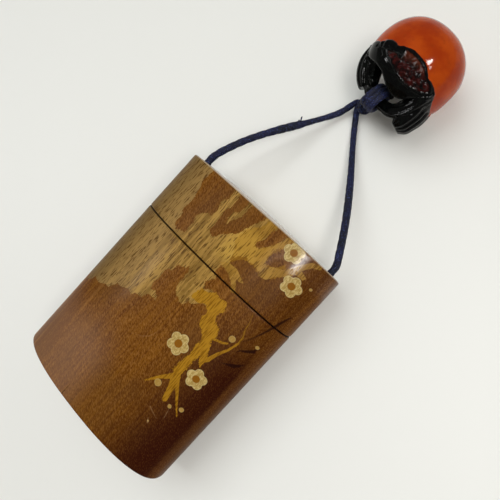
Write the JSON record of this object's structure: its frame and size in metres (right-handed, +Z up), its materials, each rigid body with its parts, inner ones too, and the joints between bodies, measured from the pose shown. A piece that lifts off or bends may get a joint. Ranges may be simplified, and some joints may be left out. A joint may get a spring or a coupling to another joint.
{
  "type": "inro case",
  "caption": "Oval wooden inro case with a lift-off lid, lying flat, with its silk cord looped to a carved lacquered toggle.",
  "frame": {"origin": "middle of the flat strip on the underside that the case lies on, below the middle of the case", "axes": "+Z up from the surface it lies on, +Y from the case's bottom to its lid and on to the toggle, +X across the case"},
  "size_m": [0.06, 0.1527, 0.0277],
  "materials": {
    "wood": "polished brown wood with a flush picture of lighter woods",
    "toggle_lacquer": "carved wood in gloss vermilion and black lacquer",
    "silk_cord": "braided dark blue silk"
  },
  "bodies": {
    "root": {"case_body": "wood", "case_lid": "wood", "toggle": "toggle_lacquer", "cord_left": "silk_cord", "cord_right": "silk_cord", "cord_held": "silk_cord", "cord_knot": "silk_cord"}
  },
  "joints": []
}
